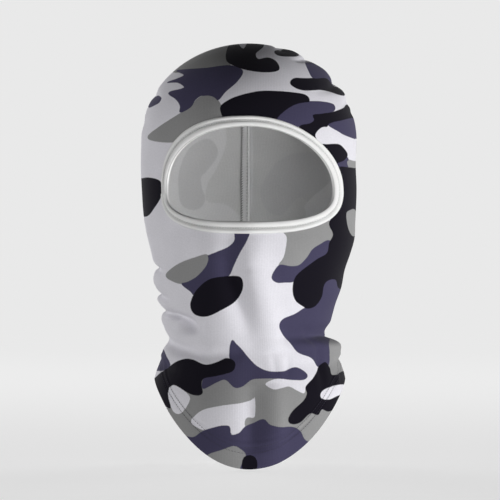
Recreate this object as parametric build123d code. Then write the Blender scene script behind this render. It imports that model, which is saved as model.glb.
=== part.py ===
from build123d import *
import math
import os

os.makedirs("parts", exist_ok=True)

# Balaclava: a printed knit hood for the head and neck, with a bound face opening
# and a rounded bib. Millimetres. The wearer faces -Y, +X is the wearer's left, +Z is
# up. The origin is on the cloth's inside at the top of the crown.

# ------------------------------------------------------------------ overall sizes
head_width = 164.0        # inside, over the temples
head_depth = 193.0        # inside, forehead to back of the head
hood_height = 322.0       # crown to the lowest point of the front hem
crown_rise = 75.0         # crown above the widest level of the dome

# ------------------------------------------------------------------ cloth and trim
cloth = 1.0               # the knit
tape = 0.9                # one leg of the folded binding
thread = 0.35             # how far a thread stands off the cloth
stitch_width = 0.7        # the width of a row of stitches

# ------------------------------------------------------------------ face opening
side_cover = 17.0         # from the opening's edge to the side of the hood
opening_level = -113.0    # the opening's widest level
opening_rise = 50.0       # from that level up to its top edge
opening_drop = 23.5       # from that level down to its bottom edge
corner_reach = 30.0       # how far in from the side the lower corners are rounded
binding_side = 5.0        # binding seen from the front, at the sides
binding_top = 7.5         # at the top
binding_bottom = 9.0      # at the bottom
raw_edge_share = 0.2      # where the cloth ends inside the fold of the binding
row_share = 0.5           # where the row of stitches runs over the binding
join_level = -109.0       # where the two ends of the binding meet
join_gap = 0.5

# ------------------------------------------------------------------ centre-back seam
seam_slit = 0.4           # between the two edges of the panel
seam_allowance = 6.0      # both plies, pressed to the wearer's right
overlock = 0.7            # thread wrapped round their free edge
needle_inset = 0.9        # the needle row, in from the seam

# ------------------------------------------------------------------ bib and hem
hem_side_peak = -243.0    # where the straight front and back hem lines would meet
hem_round = 36.0          # rounding of that peak
hem_back_lift = 12.0      # the back hem is this much higher than the front
hem_turn_width = 17.0     # the turned-up ply at the front
hem_side_widening = 7.0   # extra height of the ply, measured straight up, at the sides
fold_clear = 0.6          # the turned ply ends this far above the fold
needle_gap = 5.0          # between the two rows of the hem's cover stitch

front_share = 0.482       # of the head's depth, in front of the crown
back_share = 1.0 - front_share
dome_level = -crown_rise
reach = 1.2 * max(head_width, head_depth)
opening_half = head_width / 2.0 - side_cover
hem_front = -hood_height
hem_back = -hood_height + hem_back_lift

# The levels below the dome: share of the way from the widest level to the bottom
# edge, then half width, front depth and back depth as shares of the head's.
levels = [
    (0.00, 1.000, 1.000, 1.000),    # temples
    (0.123, 1.000, 1.020, 1.000),
    (0.246, 0.985, 1.040, 0.970),   # cheeks
    (0.348, 0.925, 1.085, 0.910),   # nose
    (0.451, 0.860, 1.030, 0.810),   # mouth
    (0.533, 0.800, 0.955, 0.735),   # chin
    (0.60, 0.755, 0.860, 0.670),    # narrowest part of the neck
    (0.66, 0.830, 0.850, 0.655),    # the roll of loose cloth on the collar
    (0.727, 0.862, 0.895, 0.675),   # where the bib spreads
    (0.80, 0.872, 0.940, 0.710),
    (0.87, 0.876, 0.970, 0.745),
    (0.95, 0.878, 0.990, 0.775),
    (1.03, 0.880, 1.000, 0.795),    # below the hem
    (1.10, 0.880, 1.005, 0.805),
]
dome_angles = [86.0, 72.0, 54.0, 36.0, 18.0]


def level_face(height, half_width, front, back):
    """One level of the hood: a half ellipse behind and a half ellipse in front."""
    with BuildSketch(Plane.XY.offset(height)) as outline:
        with BuildLine():
            EllipticalCenterArc((0, 0), half_width, back, 0, arc_size=180)
            EllipticalCenterArc((0, 0), half_width, front, 180, arc_size=180)
        make_face()
    return outline.sketch.faces()[0]


def body(grow):
    """The solid head-and-neck form, grown by the given distance from the cloth's inside."""
    half = head_width / 2.0 + grow
    front = head_depth * front_share + grow
    back = head_depth * back_share + grow
    rise = crown_rise + grow
    faces = []
    for angle in dome_angles:
        across = math.cos(math.radians(angle))
        up = math.sin(math.radians(angle)) / math.sin(math.radians(dome_angles[0]))
        faces.append(level_face(dome_level + rise * up, half * across, front * across, back * across))
    drop = hood_height - crown_rise
    for share, wide, ahead, behind in levels:
        half_here = head_width / 2.0 * wide + grow
        front_here = head_depth * front_share * ahead + grow
        back_here = head_depth * back_share * behind + grow
        # An inner form ends lower than an outer one, so that it opens the outer one's bottom.
        height = dome_level - drop * share + (3.0 * grow if share > 1.05 else 0.0)
        faces.append(level_face(height, half_here, front_here, back_here))
    return loft(faces)


def above_hem(front_lift, side_lift, rounding):
    """Everything above a line round the bib, lifted from the hem's fold by these amounts."""
    y_front = -head_depth * front_share
    y_back = head_depth * back_share * 0.8
    peak = hem_side_peak + side_lift
    front_slope = (peak - (hem_front + front_lift)) / -y_front
    back_slope = (peak - (hem_back + front_lift)) / y_back
    with BuildSketch(Plane.YZ) as side:
        with BuildLine():
            Polyline(
                (-reach, peak - front_slope * reach),
                (0, peak),
                (reach, peak - back_slope * reach),
                (reach, cloth * 20),
                (-reach, cloth * 20),
                close=True,
            )
        make_face()
        fillet(side.vertices().group_by(Axis.Y)[-2], radius=rounding)
    return extrude(side.sketch, amount=reach, both=True)


def opening_prism(share):
    """The face opening run forward; share 0 is the binding's inner edge, 1 its outer edge."""
    half = opening_half + binding_side * share
    rise = opening_rise + binding_top * share
    drop = opening_drop + binding_bottom * share
    corner = corner_reach + binding_side * share
    with BuildSketch(Plane.XZ) as outline:
        with BuildLine():
            EllipticalCenterArc((0, opening_level), half, rise, 0, arc_size=180)
            EllipticalCenterArc((corner - half, opening_level), corner, drop, 180, arc_size=90)
            Line((corner - half, opening_level - drop), (half - corner, opening_level - drop))
            EllipticalCenterArc((half - corner, opening_level), corner, drop, 270, arc_size=90)
        make_face()
    return extrude(outline.sketch, amount=reach)


def block(low, high):
    """A box between two corners."""
    size = [b - a for a, b in zip(low, high)]
    middle = [(a + b) / 2.0 for a, b in zip(low, high)]
    return Pos(*middle) * Box(*size)


def behind(x_low, x_high):
    """The back half of space between two planes either side of the seam."""
    return block((x_low, 0, -2 * hood_height), (x_high, reach, 2 * crown_rise))


def save(shape, node):
    """Write one node as one closed solid."""
    solids = shape.solids()
    print(node, len(solids), "solid(s)", round(sum(s.volume for s in solids), 2), "mm3")
    export_step(Compound(children=list(solids)) if len(solids) > 1 else solids[0], f"parts/{node}.step")


inside = body(0.0)
outside = body(cloth)
lining_1 = body(-cloth)
lining_2 = body(-2.0 * cloth)
over_cloth = body(cloth + thread)
under_lining = body(-cloth - thread)
under_seam = body(-2.0 * cloth - thread)
over_tape = body(cloth + tape)
under_tape = body(-tape)
over_tape_thread = body(cloth + tape + thread)
under_tape_thread = body(-tape - thread)

hem = above_hem(0.0, 0.0, hem_round)
turn_low = above_hem(fold_clear, fold_clear, hem_round + fold_clear)
turn_high = above_hem(hem_turn_width, hem_turn_width + hem_side_widening, hem_round + hem_turn_width)

# ------------------------------------------------------------------ the knit panel
hood = (outside - inside) & hem
hood = hood - opening_prism(raw_edge_share)
hood = hood - behind(-seam_slit / 2.0, seam_slit / 2.0)
save(hood, "hood_panel")

# ------------------------------------------------------------------ centre-back seam
seam_edge = -seam_slit / 2.0
seam_free = seam_edge - seam_allowance
ply_zone = behind(seam_free, seam_edge) & turn_high
save((inside - lining_1) & ply_zone, "seam_ply_left")
save((lining_1 - lining_2) & ply_zone, "seam_ply_right")
save((inside - lining_2) & behind(seam_free - overlock, seam_free) & turn_high, "seam_overlock_thread")
needle_zone = behind(seam_edge - needle_inset - stitch_width, seam_edge - needle_inset)
save((lining_2 - under_seam) & needle_zone & turn_high, "seam_needle_thread")

# ------------------------------------------------------------------ face binding
tape_ring = opening_prism(1.0) - opening_prism(0.0)
join = block((-reach, -reach, join_level - join_gap / 2.0), (0, 0, join_level + join_gap / 2.0))
binding = ((over_tape - under_tape) & tape_ring) - hood - join
save(binding, "face_binding")

row_half = 0.045
row_ring = opening_prism(row_share + row_half) - opening_prism(row_share - row_half)
tack_height = 2.4
tack_zone = block((-reach, -reach, join_level - tack_height / 2.0), (0, 0, join_level + tack_height / 2.0))
save(((over_tape_thread - over_tape) & row_ring) - tack_zone, "binding_needle_thread")
save(((under_tape - under_tape_thread) & row_ring) - join, "binding_looper_thread")
tack_ring = opening_prism(0.85) - opening_prism(0.12)
save((over_tape_thread - over_tape) & tack_ring & tack_zone, "binding_end_tack")

# ------------------------------------------------------------------ turned hem
save((inside - lining_1) & turn_low - turn_high, "hem_turn")


def hem_row(lift, outer, inner):
    """One row of stitches round the hem at a height above its fold."""
    share = lift / hem_turn_width
    low = above_hem(lift, lift + hem_side_widening * share, hem_round + lift)
    top = lift + stitch_width
    high = above_hem(top, top + hem_side_widening * share, hem_round + top)
    return (outer - inner) & low - high


upper_lift = hem_turn_width - 1.6
save(hem_row(upper_lift, over_cloth, outside), "hem_needle_thread_upper")
save(hem_row(upper_lift - needle_gap, over_cloth, outside), "hem_needle_thread_lower")
save(hem_row(upper_lift - needle_gap / 2.0, lining_1, under_lining), "hem_looper_thread")
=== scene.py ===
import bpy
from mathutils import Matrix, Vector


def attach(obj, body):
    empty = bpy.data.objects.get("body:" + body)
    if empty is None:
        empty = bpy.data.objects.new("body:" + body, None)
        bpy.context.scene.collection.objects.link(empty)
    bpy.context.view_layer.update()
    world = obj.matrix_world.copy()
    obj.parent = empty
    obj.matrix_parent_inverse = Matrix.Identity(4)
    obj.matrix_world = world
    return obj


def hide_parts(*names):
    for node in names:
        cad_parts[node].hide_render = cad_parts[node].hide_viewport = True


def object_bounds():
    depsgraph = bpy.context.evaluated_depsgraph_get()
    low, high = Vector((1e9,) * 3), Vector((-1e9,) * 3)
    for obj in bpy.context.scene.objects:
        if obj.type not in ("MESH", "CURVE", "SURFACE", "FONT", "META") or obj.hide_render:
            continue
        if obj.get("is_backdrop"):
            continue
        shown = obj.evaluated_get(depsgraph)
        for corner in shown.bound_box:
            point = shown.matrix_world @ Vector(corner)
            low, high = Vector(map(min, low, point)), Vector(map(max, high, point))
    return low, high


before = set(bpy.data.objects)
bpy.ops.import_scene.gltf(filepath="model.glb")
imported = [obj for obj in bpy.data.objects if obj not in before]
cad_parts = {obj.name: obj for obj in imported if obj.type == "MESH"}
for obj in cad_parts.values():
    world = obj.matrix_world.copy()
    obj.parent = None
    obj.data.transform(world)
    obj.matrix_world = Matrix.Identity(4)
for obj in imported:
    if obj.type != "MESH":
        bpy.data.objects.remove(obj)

"""Looks of a printed knit balaclava: cloth, print, binding, seams, hem and stage.

Lengths in the dataclasses are millimetres. The wearer faces -Y, +X is the wearer's left
and +Z is up. Meshes are written in metres.
"""

import logging
import math
from dataclasses import dataclass, field
from enum import Enum

import bpy
import numpy as np
from mathutils import Vector

MM = 0.001
THREAD_RIB = 0.3
THREADS = (
    ("white_thread", (0.84, 0.84, 0.83), (0.5, 0.5, 0.5)),
    ("grey_thread", (0.20, 0.20, 0.20), (0.12, 0.12, 0.12)),
    ("dark_thread", (0.06, 0.056, 0.08), (0.03, 0.03, 0.04)),
)
LAMPS = (
    ("key", (2.75, -1.7, -0.95), 0.9, 107.0),
    ("front", (0.9, -3.3, -1.1), 1.2, 22.0),
    ("fill", (-3.0, -1.2, -0.8), 1.8, 54.0),
    ("rear_right", (-1.6, 2.9, 0.5), 1.6, 38.0),
    ("rear_left", (1.9, 2.7, 0.5), 1.6, 38.0),
)
LOG = logging.getLogger("balaclava")


class Ink(Enum):
    """The print's colours, in the order in which they cover each other."""

    WHITE = 0
    GREY = 1
    INDIGO = 2
    BLACK = 3


class Side(Enum):
    """The two halves of the hood, by the wearer's sides."""

    RIGHT = -1
    LEFT = 1


# ---------------------------------------------------------------------- curves


def eased(keys: np.ndarray, values: np.ndarray, at: np.ndarray) -> np.ndarray:
    """Interpolate smoothly through a few key values.

    Args:
        keys: increasing key positions.
        values: the value at each key.
        at: positions to read.

    Returns:
        The interpolated values, held flat beyond both ends.
    """
    keys, values = np.asarray(keys, float), np.asarray(values, float)
    slopes = np.gradient(values, keys)
    at = np.clip(at, keys[0], keys[-1])
    i = np.clip(np.searchsorted(keys, at, side="right") - 1, 0, len(keys) - 2)
    span = keys[i + 1] - keys[i]
    t = (at - keys[i]) / span
    a = values[i] * (1 + 2 * t) * (1 - t) ** 2 + values[i + 1] * t * t * (3 - 2 * t)
    b = slopes[i] * span * t * (1 - t) ** 2 - slopes[i + 1] * span * t * t * (1 - t)
    return a + b


def closed_curve(points: np.ndarray, steps: int = 7) -> np.ndarray:
    """Round a closed outline through its points.

    Args:
        points: the outline's points, in order.
        steps: samples between neighbouring points.

    Returns:
        The dense outline.
    """
    p = np.asarray(points, float)
    before, after, beyond = np.roll(p, 1, 0), np.roll(p, -1, 0), np.roll(p, -2, 0)
    out = []
    for k in range(steps):
        t = k / steps
        out.append(
            0.5 * (2 * p + (after - before) * t
                   + (2 * before - 5 * p + 4 * after - beyond) * t ** 2
                   + (3 * p - before - 3 * after + beyond) * t ** 3)
        )
    return np.stack(out, 1).reshape(-1, 2)


def signed_distance(outline: np.ndarray, at: np.ndarray, far: float = 15.0) -> np.ndarray:
    """Distance from points to a closed outline, negative inside.

    Args:
        outline: the closed outline.
        at: the points to test.
        far: the distance beyond which points are not measured.

    Returns:
        One distance per point, no larger than far.
    """
    out = np.full(len(at), far)
    low, high = outline.min(0) - far, outline.max(0) + far
    near = np.where(((at > low) & (at < high)).all(1))[0]
    if not len(near):
        return out
    p = at[near]
    best = np.full(len(p), far * far)
    inside = np.zeros(len(p), bool)
    for a, b in zip(outline, np.roll(outline, -1, 0)):
        e, q = b - a, p - a
        t = np.clip((q @ e) / max(float(e @ e), 1e-9), 0, 1)
        best = np.minimum(best, ((q - t[:, None] * e) ** 2).sum(1))
        if a[1] != b[1]:
            cross = (a[1] > p[:, 1]) != (b[1] > p[:, 1])
            inside ^= cross & (p[:, 0] < a[0] + (p[:, 1] - a[1]) * e[0] / e[1])
    out[near] = np.where(inside, -1, 1) * np.sqrt(best)
    return out


def path_distance(path: np.ndarray, at: np.ndarray) -> tuple[np.ndarray, np.ndarray]:
    """Distance from points to an open path, and how far along it the nearest place is.

    Args:
        path: the path's points.
        at: the points to test.

    Returns:
        Distances, and shares of the path's length from 0 to 1.
    """
    best, along = np.full(len(at), 1e9), np.zeros(len(at))
    steps = np.sqrt(((path[1:] - path[:-1]) ** 2).sum(1))
    total, done = steps.sum(), 0.0
    for a, b, step in zip(path[:-1], path[1:], steps):
        e, q = b - a, at - a
        t = np.clip((q @ e) / max(float(e @ e), 1e-9), 0, 1)
        d = ((q - t[:, None] * e) ** 2).sum(1)
        closer = d < best
        best[closer] = d[closer]
        along[closer] = (done + t[closer] * step) / total
        done += step
    return np.sqrt(best), along


# ---------------------------------------------------------------------- the hood's form


@dataclass(frozen=True)
class Fold:
    """A soft ridge or groove in the cloth, highest in the middle of its path.

    Its path runs through (degrees round from the front, height) pairs.
    """

    path: tuple[tuple[float, float], ...]
    width: float
    height: float

    def lift(self, path: np.ndarray, at: np.ndarray) -> np.ndarray:
        """How far the fold moves the cloth outwards.

        Args:
            path: the fold's path in space.
            at: places on the form without folds.

        Returns:
            The outward move at each place.
        """
        d, along = path_distance(path, at)
        taper = np.clip(np.sin(np.pi * np.clip(along, 0.04, 0.96)), 0, 1) ** 0.6
        return self.height * taper * np.exp(-((d / self.width) ** 2))


@dataclass(frozen=True)
class HoodForm:
    """The outside of the cloth as it sits on a head."""

    rise: float = 75.0
    dome: float = -74.0
    cloth: float = 1.0
    levels: tuple[float, ...] = (
        -345, -300, -275, -262, -253, -244, -236, -229, -225, -212, -200, -187,
        -173, -161, -150, -136, -112, -90, -74)
    right_half: tuple[float, ...] = (
        74, 74, 74, 73.5, 71.5, 68.8, 66.8, 64.3, 64.3, 66, 68.2, 71.2,
        72.8, 75.2, 77.8, 80.6, 82.6, 83.4, 83)
    left_half: tuple[float, ...] = (
        76, 76, 76, 74.8, 73, 70.3, 71, 69, 60.8, 63.2, 66.6, 71.4,
        74, 78, 81.2, 82, 83, 82.3, 83)
    front: tuple[float, ...] = (
        95, 93.5, 90, 87, 84.5, 82, 80.5, 80.5, 81, 86, 92, 97,
        101, 103, 102.5, 100.5, 98.5, 96.5, 94)
    back: tuple[float, ...] = (
        80, 77, 73, 71, 69, 67, 66, 67, 68, 73, 78, 83,
        88, 92, 95.5, 98.5, 101, 101, 101)
    folds: tuple[Fold, ...] = (
        # scallops and creases on the wearer's right
        Fold(((-122, -169), (-92, -170), (-66, -174)), 2.8, -7.0),
        Fold(((-116, -181), (-88, -181), (-60, -184)), 5.0, 1.6),
        Fold(((-122, -190), (-92, -190), (-64, -195)), 2.6, -5.2),
        Fold(((-112, -197), (-88, -196), (-62, -200)), 3.2, 1.6),
        Fold(((-122, -203), (-92, -203.5), (-62, -207), (-44, -211)), 2.5, -6.6),
        Fold(((-112, -212), (-86, -212), (-66, -217)), 5.0, 1.6),
        Fold(((-60, -209), (-49, -212.5), (-36, -216)), 5.4, -7.6),
        Fold(((-70, -223), (-54, -225), (-38, -223)), 4.5, 1.9),
        Fold(((-110, -224), (-84, -228), (-60, -232), (-40, -236), (-26, -238), (-8, -236)), 5.0, -4.8),
        Fold(((-92, -244), (-70, -246), (-52, -250)), 4.5, -1.8),
        # the roll of cloth on the wearer's left of the neck
        Fold(((46, -218), (50, -232), (51, -246), (49, -262)), 4.6, -2.4),
        Fold(((62, -236), (67, -246), (64, -262)), 5.0, 1.6),
        Fold(((124, -226), (90, -225.5), (62, -223.5), (48, -224)), 2.4, -3.0),
        Fold(((112, -240), (90, -241), (70, -243)), 3.0, -1.4),
        # nose, chin and the ridge down the bib
        Fold(((-8, -166), (-3, -171), (2, -172)), 3.2, -0.9),
        Fold(((2, -140), (3, -168), (9, -197), (16, -220), (15, -240)), 10.5, 7.2),
        Fold(((-12, -150), (-11, -175), (-6, -200), (2, -228)), 8.5, -4.4),
        Fold(((14, -256), (16, -286), (13, -318)), 9.5, 6.2),
        Fold(((0, -258), (1, -288), (1, -316)), 8.0, -4.0),
        Fold(((14, -236), (16, -246), (17, -254)), 3.0, -1.4),
        Fold(((24, -238), (25, -246), (24, -254)), 3.0, -1.0),
        # loose cloth over the wearer's left of the crown
        Fold(((120, -1.6), (90, -1.8), (60, -4), (45, -6)), 4.0, -1.8),
        Fold(((110, -5), (90, -5.5), (70, -7)), 5.0, 0.7),
        Fold(((125, -9), (90, -11.5), (66, -11.5), (50, -12.3)), 3.3, -2.9),
        Fold(((110, -19), (90, -20), (70, -22)), 6.0, 0.9),
        Fold(((122, -27), (90, -29.5), (66, -33), (48, -35.5)), 4.2, -2.7),
        Fold(((108, -36), (90, -37), (72, -39)), 4.0, 1.0),
        Fold(((112, -43), (90, -44.8), (68, -47)), 3.0, -1.2),
        Fold(((110, -51), (90, -52.2), (74, -53)), 3.0, -0.9),
        Fold(((-104, -38), (-84, -39), (-66, -42)), 4.0, -1.6),
        Fold(((-104, -60), (-86, -61), (-70, -63)), 5.0, -0.9),
        # the nape
        Fold(((150, -226), (180, -231), (210, -226)), 6.0, -2.0),
        Fold(((140, -208), (180, -212), (220, -208)), 7.0, 1.5),
    )
    hem_side: float = -257.0
    hem_round: float = 64.0
    sight_distance: float = 6000.0
    sight_plane: float = 0.0
    sight_height: float = -158.0
    sight_slope: float = 0.0175
    front_hem_slope: float = 1.30
    back_hem_slope: float = 1.26

    def section(self, z: np.ndarray, x_sign: np.ndarray, facing: np.ndarray) -> tuple[np.ndarray, np.ndarray]:
        """Half width and depth of the level outline.

        Args:
            z: heights.
            x_sign: negative on the wearer's right.
            facing: positive in front.

        Returns:
            Half widths and depths.
        """
        low = np.minimum(z, self.dome)
        half = np.where(x_sign < 0, eased(self.levels, self.right_half, low),
                        eased(self.levels, self.left_half, low))
        depth = np.where(facing > 0, eased(self.levels, self.front, low),
                         eased(self.levels, self.back, low))
        up = np.clip((z - self.dome) / self.rise, 0, 1)
        shrink = np.sqrt(np.clip(1 - up * up, 0, 1))
        return half * shrink, depth * shrink

    def base(self, phi: np.ndarray, z: np.ndarray) -> np.ndarray:
        """Places on the form without its folds.

        Args:
            phi: angles round from the front, positive to the wearer's left.
            z: heights.

        Returns:
            Places as rows of x, y, z.
        """
        half, depth = self.section(z, np.sin(phi), np.cos(phi))
        return np.stack([half * np.sin(phi), -depth * np.cos(phi), z], -1)

    def hem_height(self, phi: np.ndarray) -> np.ndarray:
        """Height of the hem's fold.

        Args:
            phi: angles round from the front.

        Returns:
            Heights.
        """
        z = np.full(phi.shape, -290.0)
        slope = np.where(np.cos(phi) > 0, self.front_hem_slope, self.back_hem_slope)
        for _ in range(6):
            y = self.base(phi, z)[..., 1]
            z = self.hem_side - slope * (np.hypot(y, self.hem_round) - self.hem_round)
        return z

    def hem_steepness(self, phi: np.ndarray) -> np.ndarray:
        """How much further a line parallel to the hem lies, measured straight up.

        Args:
            phi: increasing angles round from the front.

        Returns:
            Ratios of 1 or more.
        """
        hem = self.hem_height(phi)
        spots = self.base(phi, hem)
        level = np.hypot(np.gradient(spots[:, 0]), np.gradient(spots[:, 1]))
        return np.sqrt(1 + np.clip(np.gradient(hem) / np.maximum(level, 1e-6), -1.5, 1.5) ** 2)

    def arc(self, phi: np.ndarray, z: np.ndarray) -> np.ndarray:
        """Distance round the form from the centre front, signed as phi.

        Args:
            phi: angles round from the front.
            z: heights.

        Returns:
            Arc lengths.
        """
        phi, z = np.broadcast_arrays(phi, z)
        total = np.zeros(phi.shape)
        turn = np.abs(phi)
        side = np.minimum(turn, math.pi / 2)
        steps = 14
        for facing, start, end in ((1.0, np.zeros_like(turn), side), (-1.0, side, turn)):
            half, depth = self.section(z, phi, np.full(phi.shape, facing))
            for k in range(steps):
                mid = start + (end - start) * (k + 0.5) / steps
                total += np.hypot(half * np.cos(mid), depth * np.sin(mid)) * (end - start) / steps
        return total * np.sign(phi)

    def crown_map(self, phi: np.ndarray, z: np.ndarray) -> np.ndarray:
        """Flat map of the dome, with the crown at its middle and the front at its foot.

        Args:
            phi: angles round from the front.
            z: heights above the dome's widest level.

        Returns:
            Flat places.
        """
        up = np.clip((z - self.dome) / self.rise, 0, 1)
        top = np.arcsin(up)
        half, depth = self.section(np.full(z.shape, self.dome), np.sin(phi), np.cos(phi))
        across = np.hypot(half * np.sin(phi), depth * np.cos(phi))
        length = np.zeros(z.shape)
        steps = 20
        for k in range(steps):
            a = top + (math.pi / 2 - top) * (k + 0.5) / steps
            length += np.hypot(across * np.sin(a), self.rise * np.cos(a)) * (math.pi / 2 - top) / steps
        return np.stack([length * np.sin(phi), -length * np.cos(phi)], -1)

    def unproject(self, x: np.ndarray, z: np.ndarray) -> tuple[np.ndarray, np.ndarray]:
        """Sideways places and heights on the form of what is seen from in front.

        Args:
            x: sideways places as seen, on the plane through the crown.
            z: heights as seen.

        Returns:
            Sideways places and heights on the form.
        """
        true_x, true_z = x.copy(), z.copy()
        for _ in range(3):
            half, depth = self.section(true_z, true_x, np.ones_like(true_x))
            ratio = np.clip(np.abs(true_x) / np.maximum(half, 1), 0, 1)
            y = -depth * np.sqrt(1 - ratio * ratio)
            near = 1 + (y - self.sight_plane) / self.sight_distance
            true_x = x * near
            fall = (y - self.sight_plane) * self.sight_slope
            true_z = self.sight_height + (z - self.sight_height) * near - fall
        return true_x, true_z

    def from_front(self, x: np.ndarray, z: np.ndarray) -> tuple[np.ndarray, np.ndarray, np.ndarray]:
        """Where a place seen from the front lies on the form.

        A place outside the silhouette lies that far round behind it.

        Args:
            x: sideways places as seen.
            z: heights as seen.

        Returns:
            Angles round, heights, and distances behind the silhouette.
        """
        x, z = self.unproject(x, z)
        half, _ = self.section(z, x, np.ones_like(x))
        inside = (np.abs(x) < half) & (z < self.dome + self.rise)
        ratio = np.divide(x, half, out=np.zeros_like(x), where=half > 0)
        phi = np.arcsin(np.clip(ratio, -1, 1))
        behind = np.zeros_like(x)
        rim_z = np.concatenate([np.linspace(-340, self.dome, 300),
                                self.dome + self.rise * np.sin(np.linspace(0, math.pi / 2, 200))])
        rim = []
        for sign in (-1.0, 1.0):
            width, _ = self.section(rim_z, np.full(rim_z.shape, sign), np.ones_like(rim_z))
            rim.append(np.stack([sign * width, rim_z], 1))
        rim = np.concatenate(rim)
        for i in np.where(~inside)[0]:
            gap = np.hypot(rim[:, 0] - x[i], rim[:, 1] - z[i])
            k = int(gap.argmin())
            behind[i] = gap[k]
            phi[i] = math.copysign(math.pi / 2, rim[k, 0] if rim[k, 0] else 1.0)
            z[i] = rim[k, 1]
            behind[i] *= 1.9 + 0.9 * math.sin(z[i] / 17.0 + 1.3 * phi[i])
        return phi, z, behind

    def from_behind(self, x: np.ndarray, z: np.ndarray) -> tuple[np.ndarray, np.ndarray]:
        """Where a place of the back wall, seen through the hood, lies on the back's chart.

        Args:
            x: sideways places.
            z: heights.

        Returns:
            Distances from the seam, and heights.
        """
        half, _ = self.section(z, x, -np.ones_like(x))
        turn = math.pi - np.arcsin(np.clip(np.abs(x) / half, 0, 0.999))
        phi = turn * np.where(x < 0, -1, 1)
        return np.abs(self.arc(np.full(z.shape, math.pi) * np.sign(phi), z)) - np.abs(self.arc(phi, z)), z

    def charts(self, phi: np.ndarray, z: np.ndarray, behind: np.ndarray) -> tuple[np.ndarray, np.ndarray]:
        """Flat places on the body's chart and on the dome's.

        Args:
            phi: angles round.
            z: heights.
            behind: distances round behind the silhouette.

        Returns:
            Places on the body's chart and places on the dome's chart.
        """
        body = np.stack([self.arc(phi, z) + np.sign(phi) * behind, z], -1)
        dome = self.crown_map(phi, np.maximum(z, self.dome))
        dome[..., 1] += behind + np.minimum(z - self.dome, 0) * np.cos(phi)
        return body, dome

    def lifts(self, phi: np.ndarray, z: np.ndarray) -> np.ndarray:
        """Outward moves of all the folds together.

        Args:
            phi: angles round.
            z: heights.

        Returns:
            Moves.
        """
        total = np.zeros(phi.shape)
        at = self.base(phi, z).reshape(-1, 3)
        for fold in self.folds:
            turns, heights = np.array(fold.path).T
            path = self.base(np.radians(turns), heights)
            total += fold.lift(path, at).reshape(phi.shape)
        above = (z - self.hem_height(phi)) / 1.35
        total += 0.35 * np.clip((17.5 - above) / 1.5, 0, 1) * (above < 40)
        for row in (11.2, 15.4):
            total -= 0.55 * np.exp(-(((above - row) / 1.1) ** 2))
        ripple = 0.35 * np.sin(z * 0.11 + 2.2 * np.sin(phi * 2.0)) * np.sin(phi * 3.0 + z * 0.02)
        return total + ripple * np.clip((-140 - z) / 60, 0, 1)

    def below_crown(self, z: np.ndarray) -> np.ndarray:
        """How far below the very top of the crown places are, eased from 0 to 1.

        Args:
            z: heights.

        Returns:
            Shares.
        """
        up = np.clip((z - self.dome) / self.rise, 0, 1)
        t = np.clip((0.992 - up) / 0.03, 0, 1)
        return t * t * (3 - 2 * t)

    def surface(self, phi: np.ndarray, z: np.ndarray,
                offset: np.ndarray | float = 0.0) -> tuple[np.ndarray, np.ndarray]:
        """Places on the cloth's outside, and its outward directions.

        Args:
            phi: angles round.
            z: heights.
            offset: distance outside the cloth.

        Returns:
            Places and unit directions.
        """
        def plain(a: np.ndarray, h: np.ndarray) -> np.ndarray:
            """Outward directions on the form without folds.

            Args:
                a: angles round.
                h: heights.

            Returns:
                Unit directions.
            """
            half, depth = self.section(np.minimum(h, self.dome), np.sin(a), np.cos(a))
            up = np.clip((h - self.dome) / self.rise, 0, 1)
            shrink = np.sqrt(1 - up * up)
            out = np.stack([shrink * np.sin(a) / half, -shrink * np.cos(a) / depth, up / self.rise], -1)
            return out / np.linalg.norm(out, axis=-1, keepdims=True)

        def place(a: np.ndarray, h: np.ndarray) -> np.ndarray:
            """Places on the folded cloth.

            Args:
                a: angles round.
                h: heights.

            Returns:
                Places in space.
            """
            return self.base(a, h) + plain(a, h) * (self.lifts(a, h) * self.below_crown(h))[..., None]

        step_a, step_z = 0.006, 0.5
        high = np.minimum(z + step_z, self.dome + self.rise - 0.02)
        across = place(phi + step_a, z) - place(phi - step_a, z)
        upward = place(phi, high) - place(phi, high - 2 * step_z)
        normal = np.cross(across, upward)
        normal /= np.maximum(np.linalg.norm(normal, axis=-1, keepdims=True), 1e-9)
        trust = self.below_crown(z)[..., None]
        normal = normal * trust + plain(phi, z) * (1 - trust)
        normal /= np.linalg.norm(normal, axis=-1, keepdims=True)
        spot = place(phi, z)
        return spot + normal * (np.zeros(phi.shape) + offset)[..., None], normal


# ---------------------------------------------------------------------- the print


@dataclass(frozen=True)
class Blotch:
    """One shape of the print, drawn over the ones before it.

    Its points are seen from the front: sideways place and height. Points outside the
    hood's silhouette lie round behind it.
    """

    name: str
    ink: Ink
    points: tuple[tuple[float, float], ...]


GROUND = Blotch("front_ground", Ink.WHITE, (
    (0, 24), (40, 22), (70, 6), (96, -22), (118, -60), (108, -100), (122, -140), (106, -190),
    (112, -240), (104, -300), (60, -345), (0, -352), (-60, -345), (-108, -300), (-98, -240),
    (-116, -180), (-102, -130), (-118, -80), (-98, -30), (-66, 6), (-36, 26)))

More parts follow.
